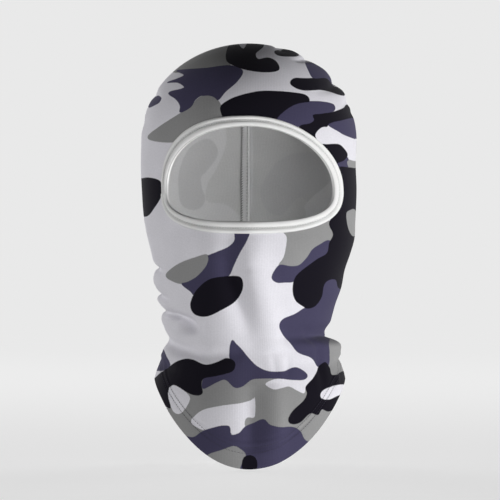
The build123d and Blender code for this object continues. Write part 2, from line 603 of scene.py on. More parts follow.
FRONT_PRINT: tuple[Blotch, ...] = (
    Blotch("crown_left", Ink.GREY, (
        (-58, -21), (-66, -10), (-45, 12), (-18, 11), (-12, -1), (-18, -9), (-15, -17), (-33, -19),
        (-45, -19))),
    Blotch("crown_top", Ink.BLACK, (
        (-17, -12), (-16, -2), (-9, 6), (-8, 0), (-4, -3), (-1, 1), (3, 3), (10, 3), (11, -1),
        (8, -4), (5, -7), (7, -11), (15, -10),
        (21, -13), (23, -19), (15, -21), (2, -20), (-9, -17))),
    Blotch("crown_dash", Ink.BLACK, ((20, -5), (25, -3), (32, -3), (38, -8), (30, -9), (22, -8))),
    Blotch("upper_left", Ink.INDIGO, (
        (-56, -20), (-48, -19), (-33, -18), (-15, -16), (-5, -20), (-9, -28), (-18, -36), (-25, -43),
        (-35, -39), (-41, -42), (-45, -48), (-53, -52), (-53, -47), (-56, -42), (-62, -37),
        (-52, -34), (-50, -32), (-55, -29), (-63, -29), (-55, -26), (-50, -23))),
    Blotch("left_edge", Ink.INDIGO, ((-77, -48), (-78, -43), (-72, -39), (-68, -41), (-69, -44), (-72, -46))),
    Blotch("left_of_opening", Ink.GREY, (
        (-78, -72), (-70, -64), (-53, -53), (-45, -48), (-40, -42), (-34, -39), (-27, -40),
        (-22, -46), (-19, -56), (-29, -64), (-45, -72), (-62, -75))),
    Blotch("over_opening", Ink.BLACK, (
        (-22, -49), (-16, -43), (-6, -39), (8, -36), (22, -36), (34, -37), (44, -39), (46, -44),
        (35, -48), (27, -53), (21, -60), (1, -63), (-16, -60))),
    Blotch("forehead_right", Ink.INDIGO, (
        (21, -58), (27, -51), (35, -46), (44, -44), (56, -44), (65, -46), (66, -50), (61, -53),
        (51, -55), (50, -59), (46, -62), (38, -63), (27, -63))),
    Blotch("right_brow", Ink.BLACK, (
        (40, -62.5), (47, -61), (50.5, -58), (49.5, -54.5), (56, -53.5), (63, -52.5),
        (68, -51), (73, -49), (77, -46), (86, -49),
        (90, -55), (81, -56), (71, -58), (63, -60), (59, -64), (53, -67), (52, -73), (44, -73),
        (38, -67))),
    Blotch("upper_right", Ink.BLACK, (
        (32, -30), (35, -26), (44, -26), (59, -26), (67, -30), (76, -33), (79, -39), (71, -39),
        (62, -35), (55, -34), (46, -35), (38, -34))),
    Blotch("upper_right_edge", Ink.INDIGO, (
        (44, -13), (53, -12), (64, -16), (72, -27), (66, -29), (59, -26), (50, -26), (46, -20))),
    Blotch("right_side_high", Ink.INDIGO, (
        (61, -61), (71, -58), (80, -56), (90, -56), (92, -69), (84, -73), (73, -69), (66, -65))),
    Blotch("right_tongue", Ink.WHITE, (
        (51, -69), (57, -63), (66, -65), (73, -69), (83, -73), (95, -78), (92, -89), (82, -90),
        (76, -85), (73, -80), (68, -77), (61, -77), (54, -75))),
    Blotch("by_binding_right", Ink.BLACK, (
        (55, -78), (61, -77), (69, -77), (73, -80), (76, -85), (73, -89), (68, -93), (61, -89))),
    Blotch("small_right", Ink.INDIGO, ((67, -92), (73, -89), (76, -87), (77, -91), (76, -95), (70, -97))),
    Blotch("small_right_below", Ink.GREY, (
        (76, -89), (82, -90), (92, -89), (95, -95), (84, -97), (77, -95))),
    Blotch("under_opening_right", Ink.GREY, (
        (23, -141), (29, -147), (29, -155), (27, -164), (23, -171), (33, -173), (39, -170),
        (45, -164), (50, -157), (56, -154), (64, -151), (66, -144), (62, -136), (47, -138),
        (35, -140))),
    Blotch("under_that", Ink.INDIGO, (
        (24, -170), (19, -175), (17, -180), (21, -183), (27, -183), (35, -182), (42, -174),
        (53, -167), (62, -160), (65, -154), (61, -151), (55, -154), (49, -158), (45, -164),
        (39, -170), (32, -171))),
    Blotch("lower_right_behind", Ink.GREY, (
        (62, -220), (73, -217), (82, -228), (86, -252), (74, -262), (66, -258), (62, -249))),
    Blotch("lower_right", Ink.INDIGO, (
        (72, -181), (67, -180), (62, -181), (58, -185), (55, -194), (50, -201), (43, -203),
        (35, -208), (25, -212), (22, -217), (25, -223), (32, -230), (38, -237), (48, -241),
        (53, -247), (56, -248), (61, -248), (62, -237), (62, -225), (70, -214), (78, -197),
        (78, -184))),
    Blotch("right_side", Ink.BLACK, (
        (69, -95), (78, -95), (87, -97), (99, -104), (101, -143), (96, -167), (84, -178), (75, -188),
        (69, -187), (67, -181), (62, -181), (58, -185), (56, -194), (51, -201), (45, -203),
        (41, -201), (36, -197), (34, -190), (35, -182), (39, -176), (52, -166), (60, -161),
        (62, -153), (65, -146), (62, -137), (69, -127), (73, -117), (72, -104))),
    Blotch("right_oval", Ink.GREY, (
        (75, -130), (78, -127), (82, -127), (86, -137), (82, -147), (79, -147), (76, -140))),
    Blotch("left_edge_middle", Ink.BLACK, (
        (-92, -117), (-89, -106), (-81, -103), (-75, -103), (-69, -105), (-67, -110), (-68, -117),
        (-72, -124), (-79, -132), (-89, -129))),
    Blotch("left_y", Ink.INDIGO, (
        (-10, -143), (-11, -151), (-16, -156), (-25, -160), (-33, -164), (-32, -169), (-38, -177),
        (-45, -182), (-52, -184), (-45, -190), (-41, -193), (-31, -184), (-18, -179), (-12, -169),
        (-7, -160), (-2, -151), (0, -143))),
    Blotch("left_lens", Ink.GREY, (
        (-64, -178), (-60, -173), (-52, -168), (-41, -164), (-32, -162), (-32, -169), (-38, -177),
        (-45, -182), (-52, -184), (-59, -182))),
    Blotch("left_oval", Ink.BLACK, (
        (-45, -202), (-43, -194), (-38, -187), (-30, -181), (-19, -179), (-8, -179), (-5, -183),
        (-6, -190), (-12, -198), (-21, -204), (-32, -209), (-41, -208))),
    Blotch("bib_ground", Ink.GREY, (
        (-80, -284), (-62, -280), (-58, -268), (-40, -258), (-20, -254), (0, -254), (14, -256),
        (30, -258), (44, -262), (48, -270), (48, -280), (62, -281), (84, -268), (92, -300),
        (60, -345), (-60, -345), (-96, -300))),
    Blotch("middle", Ink.INDIGO, (
        (-13, -228), (-10, -231), (-6, -235), (-1, -241), (6, -248), (15, -252), (27, -252),
        (35, -249), (41, -251), (45, -255), (42, -258), (33, -258), (22, -257), (10, -257),
        (2, -258), (-5, -263), (-11, -264), (-18, -258), (-25, -260), (-35, -265), (-36, -261),
        (-34, -257), (-25, -255), (-15, -253), (-11, -248), (-15, -242), (-15, -235))),
    Blotch("neck_left", Ink.BLACK, (
        (-76, -262), (-70, -255), (-62, -248), (-52, -243), (-45, -243), (-34, -247), (-25, -245),
        (-18, -242), (-12, -244), (-11, -248), (-14, -252), (-25, -255), (-35, -257), (-37, -262),
        (-36, -268), (-39, -270), (-45, -269), (-52, -265), (-58, -262), (-62, -265), (-62, -272),
        (-60, -280), (-69, -275), (-76, -269))),
    Blotch("far_left", Ink.INDIGO, (
        (-73, -235), (-67, -235), (-64, -240), (-62, -247), (-67, -251), (-72, -249))),
    Blotch("left_neck_oval", Ink.WHITE, (
        (-62, -266), (-58, -263), (-52, -265), (-47, -269), (-45, -273), (-48, -280), (-53, -285),
        (-58, -283), (-61, -275))),
    Blotch("right_neck_white", Ink.WHITE, (
        (12, -262), (15, -259), (22, -257), (33, -258), (44, -258), (54, -251), (54, -255),
        (45, -262), (43, -269), (37, -267), (31, -264), (25, -265), (18, -266))),
    Blotch("right_neck", Ink.BLACK, (
        (53, -252), (56, -248), (59, -245), (62, -249), (64, -255), (72, -252), (79, -251),
        (82, -263), (75, -272), (63, -282), (56, -281), (53, -285), (47, -284), (39, -291),
        (32, -292), (29, -289), (33, -283), (42, -275), (45, -269), (44, -264), (49, -258))),
    Blotch("right_neck_oval", Ink.WHITE, (
        (55, -269), (59, -265), (67, -262), (74, -262), (73, -268), (66, -272), (61, -274),
        (56, -273))),
    Blotch("bottom_left", Ink.WHITE, (
        (-45, -291), (-42, -286), (-35, -281), (-22, -278), (-7, -276), (1, -274), (5, -272),
        (5, -287), (-1, -288), (-3, -291), (-3, -297), (-8, -300), (-14, -301), (-15, -295),
        (-19, -294), (-25, -295), (-33, -298), (-41, -295))),
    Blotch("bottom", Ink.INDIGO, (
        (-53, -302), (-43, -303), (-35, -298), (-25, -295), (-19, -294), (-15, -295), (-14, -301),
        (-8, -300), (-3, -295), (4, -292), (11, -289), (15, -293), (22, -295), (33, -295),
        (39, -298), (43, -305), (52, -311), (39, -325), (20, -332), (-11, -334), (-38, -320))),
    Blotch("bottom_patch", Ink.GREY, (
        (-33, -317), (-21, -312), (-12, -309), (-7, -311), (-2, -316), (-5, -323), (-10, -331),
        (-25, -326))),
    Blotch("bottom_small", Ink.BLACK, (
        (-5, -326), (-4, -319), (0, -317), (4, -318), (6, -322), (5, -328), (-1, -331))),
)


BACK_PRINT: tuple[Blotch, ...] = (
    Blotch("back_ground_right", Ink.WHITE, (
        (-72, -50), (-40, -44), (-0.5, -46), (-0.5, -146), (-40, -150), (-70, -140))),
    # the grey ground on the wearer's left of the back is print; seen through the lining it is also painted
    # shade that makes that inside panel darker than the other
    Blotch("back_ground_left", Ink.GREY, (
        (0.5, -48), (40, -40), (66, -52), (74, -96), (64, -138), (30, -152), (0.5, -146))),
    Blotch("by_seam", Ink.GREY, (
        (-17, -62), (-18, -81), (-24, -96), (-32, -107), (-35, -116), (-33, -122), (-19, -124),
        (-7, -134), (-0.5, -137), (-0.5, -100), (-0.5, -58), (-8, -54))),
    Blotch("back_bean", Ink.INDIGO, (
        (-33, -73), (-25, -80), (-25, -88), (-33, -98), (-38, -103), (-38, -112), (-36, -119),
        (-38, -125), (-44, -128), (-52, -126), (-55.5, -119), (-55.5, -105), (-52, -92), (-45, -79))),
    Blotch("back_left_cloud", Ink.INDIGO, (
        (10, -112), (22, -92), (40, -84), (62, -86), (74, -104), (66, -122), (52, -126), (40, -118),
        (26, -132), (14, -128))),
    Blotch("back_left_low", Ink.WHITE, (
        (44, -134), (52, -126), (64, -124), (74, -130), (66, -150), (50, -150))),
    Blotch("nape_left", Ink.BLACK, (
        (14, -176), (26, -168), (44, -172), (56, -184), (48, -198), (30, -192), (18, -196), (8, -188))),
    Blotch("nape_left_small", Ink.GREY, ((30, -214), (46, -206), (58, -214), (52, -232), (34, -230))),
    Blotch("nape_right", Ink.INDIGO, (
        (-8, -170), (-22, -160), (-42, -166), (-60, -176), (-54, -192), (-34, -186), (-22, -198),
        (-8, -194))),
    Blotch("nape_right_small", Ink.BLACK, ((-30, -206), (-46, -200), (-58, -210), (-50, -222), (-34, -222))),
)


@dataclass(frozen=True)
class CamoPrint:
    """The camouflage print, kept as one distance field for each ink."""

    form: HoodForm
    blotches: tuple[Blotch, ...] = FRONT_PRINT
    back_blotches: tuple[Blotch, ...] = BACK_PRINT
    ground: Blotch = GROUND
    back_shift: float = 96.0
    back_turn: float = -318.0

    def _draw(self, fields: dict[Ink, np.ndarray], ink: Ink, distance: np.ndarray) -> None:
        """Draw one shape over the fields.

        Args:
            fields: the distance field of each ink, changed in place.
            ink: the shape's ink.
            distance: signed distance to the shape.
        """
        for other in fields:
            if other is ink:
                fields[other] = np.minimum(fields[other], distance)
            elif other.value > ink.value:
                fields[other] = np.maximum(fields[other], -distance)

    def _back_outlines(self) -> list[tuple[Ink, Side, np.ndarray]]:
        """The same shapes turned half a turn for the back of each half.

        Returns:
            Ink, side and outline, as distance from the seam and height.
        """
        out = []
        for blotch in self.blotches:
            dense = closed_curve(np.array(blotch.points))
            for side in Side:
                shift = self.back_shift if side is Side.LEFT else self.back_shift - 82
                turn = self.back_turn if side is Side.LEFT else self.back_turn + 58
                turned = np.stack([shift - side.value * dense[:, 0], turn - dense[:, 1]], 1)
                out.append((blotch.ink, side, turned))
        return out

    def fields(self, phi: np.ndarray, z: np.ndarray) -> dict[Ink, np.ndarray]:
        """Signed distance to the edge of each ink, negative where it shows.

        Args:
            phi: angles round, one per mesh point.
            z: heights, one per mesh point.

        Returns:
            One field per ink except white.
        """
        form = self.form
        body, dome = form.charts(phi, z, np.zeros_like(z))
        on_dome = z > form.dome + 0.01
        half_girth = np.abs(form.arc(np.full(z.shape, math.pi), z))
        fields = {ink: np.full(len(z), 15.0) for ink in Ink if ink is not Ink.WHITE}
        seam_u = half_girth - np.abs(body[:, 0])
        to_pole = np.hypot(dome[:, 0], dome[:, 1])
        foot = form.crown_map(phi, np.full(z.shape, form.dome))
        seam_z = np.where(on_dome, form.dome + np.hypot(foot[:, 0], foot[:, 1]) - to_pole, z)
        back_at = np.stack([seam_u, seam_z], 1)
        behind = np.cos(phi) < 0.35
        for ink, side, outline in self._back_outlines():
            mine = behind & (np.sign(phi) == side.value)
            distance = np.full(len(z), 15.0)
            distance[mine] = signed_distance(outline, back_at[mine])
            self._draw(fields, ink, distance)
        for blotch in self.back_blotches:
            dense = closed_curve(np.array(blotch.points))
            outline = np.stack(form.from_behind(dense[:, 0], dense[:, 1]), 1)
            mine = behind & (np.sign(phi) == np.sign(dense[:, 0].mean()))
            distance = np.full(len(z), 15.0)
            distance[mine] = signed_distance(outline, back_at[mine])
            self._draw(fields, blotch.ink, distance)
        for blotch in (self.ground,) + self.blotches:
            dense = closed_curve(np.array(blotch.points))
            a, h, over = form.from_front(dense[:, 0].copy(), dense[:, 1].copy())
            flat_body, flat_dome = form.charts(a, h, over)
            distance = np.where(on_dome, signed_distance(flat_dome, dome), signed_distance(flat_body, body))
            self._draw(fields, blotch.ink, distance)
        return fields


# ---------------------------------------------------------------------- finishes


@dataclass(frozen=True)
class Finish:
    """What every cloth or thread finish shares: a principled shader and its helpers."""

    name: str
    roughness: float = 0.9
    sheen: float = 0.01
    sheen_roughness: float = 0.5
    bump: float = 0.25
    bump_depth: float = 0.12

    def material(self) -> bpy.types.Material:
        """Start the material.

        Returns:
            The material, with its uniform values set.
        """
        mat = bpy.data.materials.new(self.name)
        mat.use_nodes = True
        shader = mat.node_tree.nodes["Principled BSDF"]
        shader.inputs["Roughness"].default_value = self.roughness
        shader.inputs["Sheen Weight"].default_value = self.sheen
        shader.inputs["Sheen Roughness"].default_value = self.sheen_roughness
        shader.inputs["Specular IOR Level"].default_value = 0.04
        return mat

    def node(self, mat: bpy.types.Material, kind: str, **values: object) -> bpy.types.Node:
        """Add one shader node.

        Args:
            mat: the material.
            kind: the node's type name.
            values: attributes, or socket values when the name is a socket's.

        Returns:
            The node.
        """
        node = mat.node_tree.nodes.new(kind)
        for key, value in values.items():
            if hasattr(node, key):
                setattr(node, key, value)
            else:
                node.inputs[key.replace("_", " ").title()].default_value = value
        return node

    def math(self, mat: bpy.types.Material, operation: str, a: object,
             b: object = 0.0) -> bpy.types.NodeSocket:
        """Add one arithmetic node.

        Args:
            mat: the material.
            operation: the operation's name.
            a: a socket or a number.
            b: a socket or a number.

        Returns:
            The result's socket.
        """
        node = mat.node_tree.nodes.new("ShaderNodeMath")
        node.operation = operation
        for socket, value in zip(node.inputs, (a, b)):
            if isinstance(value, (int, float)):
                socket.default_value = value
            else:
                mat.node_tree.links.new(value, socket)
        return node.outputs[0]

    def mix(self, mat: bpy.types.Material, factor: object, a: object, b: object,
            blend: str = "MIX") -> bpy.types.NodeSocket:
        """Add one colour mix.

        Args:
            mat: the material.
            factor: a socket or a number.
            a: a colour or a socket.
            b: a colour or a socket.
            blend: the blend type.

        Returns:
            The result's socket.
        """
        node = mat.node_tree.nodes.new("ShaderNodeMix")
        node.data_type = "RGBA"
        node.blend_type = blend
        for socket, value in ((node.inputs[0], factor), (node.inputs[6], a), (node.inputs[7], b)):
            if isinstance(value, bpy.types.NodeSocket):
                mat.node_tree.links.new(value, socket)
            elif isinstance(value, (int, float)):
                socket.default_value = value
            else:
                socket.default_value = (*value, 1.0)
        return node.outputs[2]

    def knit(self, mat: bpy.types.Material, wale: float,
             course: float) -> tuple[bpy.types.NodeSocket, bpy.types.NodeSocket]:
        """Height of a plain knit's stitches, from the cloth's flat coordinates.

        Args:
            mat: the material.
            wale: spacing of the upright rows of loops, in millimetres.
            course: spacing of the level rows.

        Returns:
            The height, from 0 to 1, and slow unevenness, from 0 to 1.
        """
        links = mat.node_tree.links
        uv = self.node(mat, "ShaderNodeUVMap", uv_map="flat")
        split = self.node(mat, "ShaderNodeSeparateXYZ")
        links.new(uv.outputs[0], split.inputs[0])
        across = self.math(mat, "MULTIPLY", split.outputs[0], 2 * math.pi / (wale * MM))
        upward = self.math(mat, "MULTIPLY", split.outputs[1], 2 * math.pi / (course * MM))
        rib = self.math(mat, "ABSOLUTE", self.math(mat, "SINE", self.math(mat, "MULTIPLY", across, 0.5)))
        leg = self.math(mat, "MULTIPLY", self.math(mat, "COSINE", across), 1.1)
        loop = self.math(mat, "SINE", self.math(mat, "ADD", upward, leg))
        height = self.math(mat, "ADD", self.math(mat, "MULTIPLY", rib, 0.30),
                           self.math(mat, "MULTIPLY", loop, 0.10))
        noise = self.node(mat, "ShaderNodeTexNoise", scale=800.0, detail=4.0, roughness=0.6)
        links.new(uv.outputs[0], noise.inputs["Vector"])
        slow = self.node(mat, "ShaderNodeTexNoise", scale=38.0, detail=3.0, roughness=0.55)
        links.new(uv.outputs[0], slow.inputs["Vector"])
        height = self.math(mat, "ADD", height, self.math(mat, "MULTIPLY", noise.outputs[0], 0.75))
        return height, slow.outputs[0]

    def raise_by(self, mat: bpy.types.Material, height: bpy.types.NodeSocket) -> None:
        """Feed a height into the shader's normal.

        Args:
            mat: the material.
            height: the height's socket.
        """
        bump = self.node(mat, "ShaderNodeBump")
        bump.inputs["Strength"].default_value = self.bump
        bump.inputs["Distance"].default_value = self.bump_depth * MM
        mat.node_tree.links.new(height, bump.inputs["Height"])
        shader = mat.node_tree.nodes["Principled BSDF"]
        mat.node_tree.links.new(bump.outputs[0], shader.inputs["Normal"])

    def colour(self, mat: bpy.types.Material, socket: bpy.types.NodeSocket) -> None:
        """Feed a colour into the shader.

        Args:
            mat: the material.
            socket: the colour's socket.
        """
        shader = mat.node_tree.nodes["Principled BSDF"]
        mat.node_tree.links.new(socket, shader.inputs["Base Color"])


@dataclass(frozen=True)
class PrintedKnit(Finish):
    """Fine stretch jersey with the camouflage print."""

    inks: dict[Ink, tuple[float, float, float]] = field(default_factory=lambda: {
        Ink.WHITE: (0.72, 0.71, 0.755),
        Ink.GREY: (0.275, 0.275, 0.275),
        Ink.INDIGO: (0.058, 0.053, 0.100),
        Ink.BLACK: (0.0075, 0.0065, 0.011),
    })
    edge: float = 0.3
    spread: float = 0.45
    ghost: float = 1.0
    backing: tuple[float, float, float] = (0.5, 0.5, 0.5)
    wale: float = 1.25
    course: float = 0.95

    def build(self) -> bpy.types.Material:
        """Make the material.

        Returns:
            The finished material.
        """
        mat = self.material()
        links = mat.node_tree.links
        height, slow = self.knit(mat, self.wale, self.course)
        shade = self.inks[Ink.WHITE]
        wobble = self.math(mat, "MULTIPLY", self.math(mat, "SUBTRACT", height, 0.5), 0.35)
        for ink in (Ink.GREY, Ink.INDIGO, Ink.BLACK):
            reach = self.node(mat, "ShaderNodeAttribute", attribute_name=f"ink_{ink.name.lower()}")
            shift = self.math(mat, "SUBTRACT", wobble, self.spread)
            near = self.math(mat, "ADD", reach.outputs["Fac"], shift)
            cover = self.node(mat, "ShaderNodeMapRange", interpolation_type="SMOOTHSTEP")
            cover.inputs["From Min"].default_value = self.edge
            cover.inputs["From Max"].default_value = -self.edge
            links.new(near, cover.inputs["Value"])
            shade = self.mix(mat, cover.outputs[0], shade, self.inks[ink])
        if self.ghost < 1.0:
            shade = self.mix(mat, self.ghost, self.backing, shade)
        fleck = self.math(mat, "ADD", 0.79, self.math(mat, "MULTIPLY", height, 0.32))
        drift = self.math(mat, "ADD", 0.93, self.math(mat, "MULTIPLY", slow, 0.14))
        grey = self.node(mat, "ShaderNodeCombineColor")
        tone = self.math(mat, "MULTIPLY", fleck, drift)
        for socket in grey.inputs[:3]:
            links.new(tone, socket)
        self.colour(mat, self.mix(mat, 1.0, shade, grey.outputs[0], "MULTIPLY"))
        self.raise_by(mat, height)
        return mat


@dataclass(frozen=True)
class PlainTape(Finish):
    """Soft elastic tape or sewing thread with a fine rib."""

    shade: tuple[float, float, float] = (0.8, 0.8, 0.79)
    shadow: tuple[float, float, float] = (0.6, 0.6, 0.6)
    # colour of the painted shade laid into the tape's groove and along its edges
    painted_shade: tuple[float, float, float] = (0.3, 0.3, 0.3)
    rib: float = 0.7

    def build(self) -> bpy.types.Material:
        """Make the material.

        Returns:
            The finished material.
        """
        mat = self.material()
        height, slow = self.knit(mat, self.rib, self.rib * 1.2)
        low = self.math(mat, "MULTIPLY", self.math(mat, "SUBTRACT", 1.0, height), 0.55)
        shade = self.mix(mat, low, self.shade, self.shadow)
        tone = self.math(mat, "MULTIPLY", slow, 0.2)
        shade = self.mix(mat, tone, shade, self.shadow)
        # painted shade: the attribute read here mixes the tape towards a darker colour where shade falls in
        # its groove and along its edges
        painted_shade = self.node(mat, "ShaderNodeAttribute", attribute_name="painted_shade")
        self.colour(mat, self.mix(mat, painted_shade.outputs["Fac"], shade, self.painted_shade))
        self.raise_by(mat, height)
        return mat


# ---------------------------------------------------------------------- mesh making


@dataclass
class Piece:
    """A mesh under construction: points in millimetres, faces and named values."""

    name: str
    points: list = field(default_factory=list)
    faces: list = field(default_factory=list)
    flat: list = field(default_factory=list)
    values: dict = field(default_factory=dict)

    def add(self, points: np.ndarray, faces: np.ndarray, flat: np.ndarray) -> None:
        """Add a block of points and faces.

        Args:
            points: places, in millimetres.
            faces: indices into these points.
            flat: flat cloth coordinates of the points, in millimetres.
        """
        start = sum(len(p) for p in self.points)
        self.points.append(points)
        self.faces.extend((np.asarray(faces) + start).tolist())
        self.flat.append(flat)

    def build(self, materials: list[bpy.types.Material]) -> bpy.types.Object:
        """Make the object.

        Args:
            materials: its material slots.

        Returns:
            The linked object.
        """
        mesh = bpy.data.meshes.new(self.name)
        mesh.from_pydata((np.concatenate(self.points) * MM).tolist(), [], self.faces)
        uv = mesh.uv_layers.new(name="flat")
        flat = np.concatenate(self.flat) * MM
        loops = np.zeros(len(mesh.loops), np.int32)
        mesh.loops.foreach_get("vertex_index", loops)
        uv.data.foreach_set("uv", flat[loops].astype(np.float32).ravel())
        for name, values in self.values.items():
            layer = mesh.attributes.new(name, "FLOAT", "POINT")
            layer.data.foreach_set("value", np.asarray(values, np.float32))
        for material in materials:
            mesh.materials.append(material)
        mesh.polygons.foreach_set("use_smooth", [True] * len(mesh.polygons))
        obj = bpy.data.objects.new(self.name, mesh)
        bpy.context.scene.collection.objects.link(obj)
        mesh.update()
        return obj


def grid_faces(rows: int, columns: int, closed: bool = False) -> np.ndarray:
    """Quads of a grid of points.

    Args:
        rows: the number of rows.
        columns: the number of points in a row.
        closed: whether the last column joins the first.

    Returns:
        Point indices, four to a face.
    """
    last = columns if closed else columns - 1
    i, j = np.meshgrid(np.arange(rows - 1), np.arange(last), indexing="ij")
    k = (j + 1) % columns
    corners = [i * columns + j, (i + 1) * columns + j, (i + 1) * columns + k, i * columns + k]
    return np.stack(corners, -1).reshape(-1, 4)


def thread_block(path: np.ndarray, radius: float,
                 sides: int = 6) -> tuple[np.ndarray, np.ndarray, np.ndarray]:
    """One short length of thread with rounded ends.

    Args:
        path: its centre line.
        radius: its radius.
        sides: points round it.

    Returns:
        Points, faces and flat coordinates.
    """
    count = len(path)
    ahead = np.gradient(path, axis=0)
    ahead /= np.linalg.norm(ahead, axis=1, keepdims=True)
    guide = np.array([0.31, 0.22, 0.93]) if abs(ahead[0][2]) < 0.9 else np.array([1.0, 0.1, 0.0])
    one = np.cross(ahead, guide)
    one /= np.linalg.norm(one, axis=1, keepdims=True)
    two = np.cross(ahead, one)
    around = np.linspace(0, 2 * math.pi, sides, endpoint=False)
    swell = np.ones(count)
    swell[0] = swell[-1] = 0.35
    ring = (one[:, None] * np.cos(around)[None, :, None] + two[:, None] * np.sin(around)[None, :, None])
    points = path[:, None] + ring * (radius * swell)[:, None, None]
    along = np.repeat(np.arange(count, dtype=float)[:, None], sides, 1)
    flat = np.stack([np.repeat(around[None] * radius, count, 0), along * radius], -1)
    faces = grid_faces(count, sides, closed=True).tolist()
    faces = [f[::-1] for f in faces]
    quads = np.array(faces)
    return points.reshape(-1, 3), quads, flat.reshape(-1, 2)


# ---------------------------------------------------------------------- sub-assemblies


@dataclass(frozen=True)
class FaceOpening:
    """The outline of the face opening as it is seen from the front."""

    form: HoodForm
    level: float = -112.0
    half_right: float = 64.0
    half_left: float = 65.2
    middle: float = 0.4
    rise: float = 49.4
    drop: float = 24.4
    right_band: float = 3.4
    left_band: float = 6.6
    top_band: float = 7.8
    bottom_band: float = 9.0
    right_fullness: float = 2.3
    fullness_gain: float = 0.3
    left_lean: float = 1.5
    right_power: float = 3.0
    left_power: float = 2.75
    points: int = 420

    def outline(self, share: float, count: int | None = None) -> np.ndarray:
        """The outline at a share of the binding's width.

        Args:
            share: 0 at the binding's inner edge, 1 at its outer edge.
            count: the number of points.

        Returns:
            Sideways places and heights, anticlockwise from the wearer's left.
        """
        count = count or self.points
        t = np.linspace(0, 2 * math.pi, count, endpoint=False)
        half = np.where(np.cos(t) < 0, self.half_right + self.right_band * share,
                        self.half_left + self.left_band * share)
        x = half * np.cos(t)
        across = np.cos(t)
        top = self.rise + self.top_band * share
        fuller = self.right_fullness + self.fullness_gain * share
        bowed = top * (1 - np.abs(across) ** fuller) ** (1 / fuller)
        round_top = top * np.sin(t) - self.left_lean * across * np.clip(np.sin(t), 0, 1)
        upper = np.where(across < 0, bowed, round_top)
        power = np.where(across < 0, self.right_power, self.left_power)
        lower = -(self.drop + self.bottom_band * share) * (1 - np.abs(across) ** power) ** (1 / power)
        z = self.level + np.where(np.sin(t) >= 0, upper, lower)
        return np.stack(self.form.unproject(self.middle + x, z), 1)

    def inside(self, x: np.ndarray, z: np.ndarray, share: float) -> np.ndarray:
        """Which places lie in the opening.

        Args:
            x: sideways places.
            z: heights.
            share: the share of the binding's width.

        Returns:
            True inside.
        """
        at = np.stack([x, z], 1)
        return signed_distance(self.outline(share, 160), at) < 0


@dataclass
class HoodCloth:
    """The printed panel with its turned hem and the two edges of its back seam."""

    form: HoodForm
    opening: FaceOpening
    outside: bpy.types.Material
    inside: bpy.types.Material
    columns: int = 380
    dome_rows: int = 104
    body_rows: int = 176
    turn_rows: int = 12
    turn_width: float = 16.5
    seam_gap: float = 0.12
    seam_dip: float = 0.35

    def grid(self) -> tuple[np.ndarray, np.ndarray, np.ndarray]:
        """Angles, heights and inward offsets of the grid of points.

        Returns:
            Three arrays of rows by columns.
        """
        phi = np.linspace(-math.pi + 0.0006, math.pi - 0.0006, self.columns)
        tops = math.pi / 2 - (math.pi / 2 - 0.0015) * np.linspace(0, 1, self.dome_rows) - 0.0015
        z_dome = self.form.dome + self.form.rise * np.sin(tops)
        hem = self.form.hem_height(phi)
        share = np.linspace(0, 1, self.body_rows + 1)[1:]
        z_body = self.form.dome + (hem - self.form.dome)[None] * share[:, None]
        bend = np.linspace(0, math.pi, 6)[1:]
        z_bend = hem[None] - 0.9 * np.sin(bend)[:, None]
        in_bend = 0.95 * (1 - np.cos(bend))
        lift = np.linspace(0, 1, self.turn_rows)[1:]
        steep = self.form.hem_steepness(phi)
        z_turn = hem[None] + lift[:, None] * self.turn_width * steep[None]
        z = np.concatenate([np.repeat(z_dome[:, None], self.columns, 1), z_body, z_bend, z_turn])
        inward = np.concatenate([np.zeros(self.dome_rows + self.body_rows), in_bend,
                                 np.full(len(lift), 1.9)])
        return np.repeat(phi[None], len(z), 0), z, np.repeat(inward[:, None], self.columns, 1)

    def build(self, camo: CamoPrint) -> bpy.types.Object:
        """Make the cloth and its print.

        Args:
            camo: the print.

        Returns:
            The cloth, two-sided.
        """
        phi, z, inward = self.grid()
        rows, columns = phi.shape
        flat_phi, flat_z = phi.ravel(), z.ravel()
        seam_near = np.abs(np.abs(flat_phi) - math.pi) * 90.0
        dip = self.seam_dip * np.exp(-((seam_near / 2.6) ** 2)) * self.form.below_crown(flat_z)
        points, _ = self.form.surface(flat_phi, flat_z, -inward.ravel() - dip)
        sign = np.sign(flat_phi)
        points[:, 0] += np.where(seam_near < 1.0, sign * self.seam_gap, 0) * self.form.below_crown(flat_z)
        arcs = self.form.arc(flat_phi, flat_z)
        lengths = np.linalg.norm(np.diff(points.reshape(rows, columns, 3), axis=0), axis=2)
        down = np.vstack([np.zeros(columns), np.cumsum(lengths, 0)])
        faces = grid_faces(rows, columns)
        middle = points[faces].mean(1)
        hole = self.opening.inside(middle[:, 0], middle[:, 2], 0.42) & (middle[:, 1] < 0)
        faces = faces[~hole]
        fields = camo.fields(flat_phi, flat_z)
        used = np.zeros(len(points), bool)
        used[faces.ravel()] = True
        remap = np.cumsum(used) - 1
        piece = Piece("hood_cloth")
        piece.add(points[used], remap[faces], np.stack([arcs, -down.ravel()], 1)[used])
        for ink, values in fields.items():
            piece.values[f"ink_{ink.name.lower()}"] = values[used]
        obj = piece.build([self.outside, self.inside])
        shell = obj.modifiers.new("thickness", "SOLIDIFY")
        shell.thickness = self.form.cloth * MM
        shell.offset = -1.0
        shell.material_offset = 1
        shell.material_offset_rim = 1
        graph = bpy.context.evaluated_depsgraph_get()
        thick = bpy.data.meshes.new_from_object(obj.evaluated_get(graph))
        obj.modifiers.clear()
        obj.data = thick
        return obj


def band(form: HoodForm, places: np.ndarray, offsets: np.ndarray) -> np.ndarray:
    """Put front-view places on the cloth at given heights above it.

    Args:
        form: the hood's form.
        places: sideways places and heights.
        offsets: distances outside the cloth.

    Returns:
        Places in space.
    """
    half, _ = form.section(places[:, 1], places[:, 0], np.ones(len(places)))
    phi = np.arcsin(np.clip(places[:, 0] / half, -0.9999, 0.9999))
    spots, _ = form.surface(phi, places[:, 1], offsets)
    return spots


